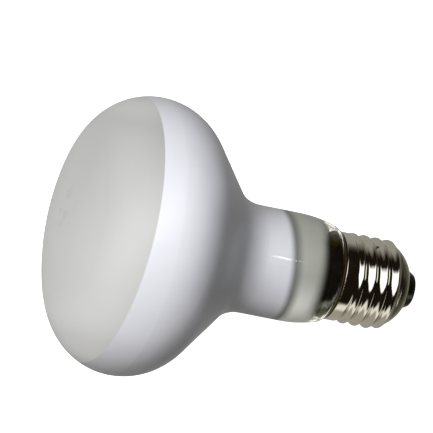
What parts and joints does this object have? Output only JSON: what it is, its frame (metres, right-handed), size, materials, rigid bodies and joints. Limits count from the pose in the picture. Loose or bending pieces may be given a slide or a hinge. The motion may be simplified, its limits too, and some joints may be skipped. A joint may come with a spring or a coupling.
{
  "type": "basking bulb",
  "caption": "Reflector heat lamp: mushroom-shaped glass bulb with a frosted face, silvered flank and neck, a clear ring at the neck's end, and a nickel screw cap with a black insulator.",
  "frame": {"origin": "middle of the centre contact's end face", "axes": "+Z along the lamp's axis, from the cap to the frosted face; the side solder is on -X"},
  "size_m": [0.08, 0.08, 0.108],
  "materials": {
    "coated_glass": "clear glass over silvering and frosting",
    "nickel": "nickel plated sheet",
    "black_glass": "gloss",
    "contact_metal": "stamped",
    "solder": "dull",
    "cement": "matt, baked",
    "clear_glass": "clear",
    "lead_metal": "drawn wire",
    "tungsten": "drawn wire"
  },
  "bodies": {
    "root": {"glass_envelope": "coated_glass", "screw_shell": "nickel", "insulator": "black_glass", "centre_contact": "contact_metal", "centre_solder": "solder", "side_solder": "solder", "capping_cement": "cement", "stem": "clear_glass", "exhaust_tube": "clear_glass", "filament_post": "clear_glass", "lead_wire_centre": "lead_metal", "lead_wire_side": "lead_metal", "filament": "tungsten", "filament_supports": "tungsten"}
  },
  "joints": []
}
